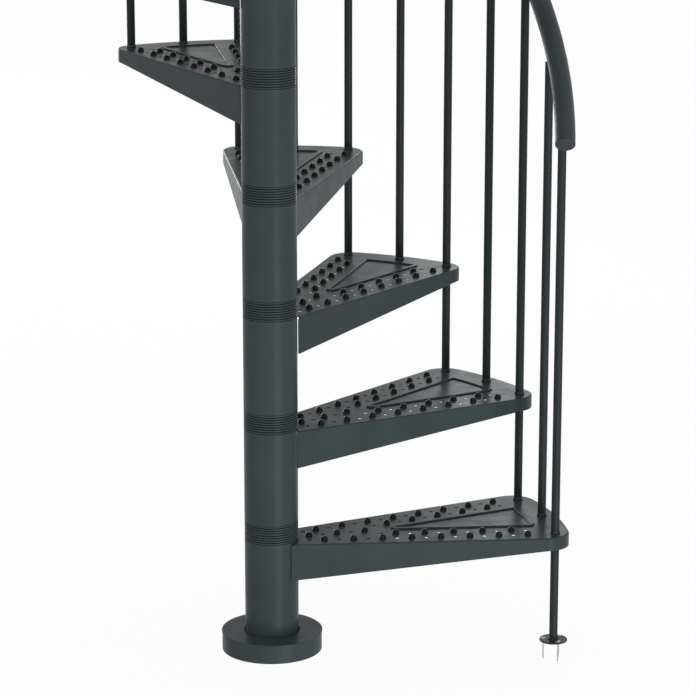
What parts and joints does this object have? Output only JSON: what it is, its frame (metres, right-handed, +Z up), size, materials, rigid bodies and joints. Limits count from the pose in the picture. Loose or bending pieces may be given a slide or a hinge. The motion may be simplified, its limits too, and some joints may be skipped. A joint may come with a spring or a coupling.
{
  "type": "spiral staircase",
  "caption": "Steel spiral stair: folded treads with grip buttons around a round column, thin round balusters and a tubular handrail outside, and a landing on top.",
  "frame": {"origin": "on the floor, on the column's axis", "axes": "+Z up the column; +X runs 2.8 degrees clockwise of the start post, seen from above; the stair climbs counter-clockwise"},
  "size_m": [1.2085, 1.21, 3.7727],
  "materials": {
    "powder_coat": "satin anthracite grey powder coat",
    "post_coat": "satin anthracite grey powder coat on round bar",
    "rail_coat": "smooth anthracite grey coat on tube",
    "black_plastic": "black moulded plastic",
    "grip_rubber": "black moulded rubber buttons",
    "zinc_steel": "galvanised",
    "zinc_screw": "bright zinc plate"
  },
  "bodies": {
    "root": {"base_plate": "zinc_steel", "base_cover": "powder_coat", "centre_pole": "zinc_steel", "column_sleeves": "powder_coat", "newel_tube": "powder_coat", "column_cap": "black_plastic", "spacer_rings_odd": "powder_coat", "spacer_rings_even": "powder_coat", "landing": "powder_coat", "landing_ribs": "powder_coat", "start_post": "post_coat", "corner_posts": "post_coat", "middle_posts": "post_coat", "landing_posts": "post_coat", "start_post_foot": "post_coat", "start_post_screws": "zinc_screw", "handrail_1": "rail_coat", "handrail_2": "rail_coat", "handrail_3": "rail_coat", "handrail_bend": "rail_coat", "handrail_landing": "rail_coat", "handrail_end_caps": "black_plastic", "handrail_saddles": "black_plastic", "tread_01": "powder_coat", "tread_02": "powder_coat", "tread_03": "powder_coat", "tread_04": "powder_coat", "tread_05": "powder_coat", "tread_06": "powder_coat", "tread_07": "powder_coat", "tread_08": "powder_coat", "tread_09": "powder_coat", "tread_10": "powder_coat", "tread_11": "powder_coat"}
  },
  "joints": []
}
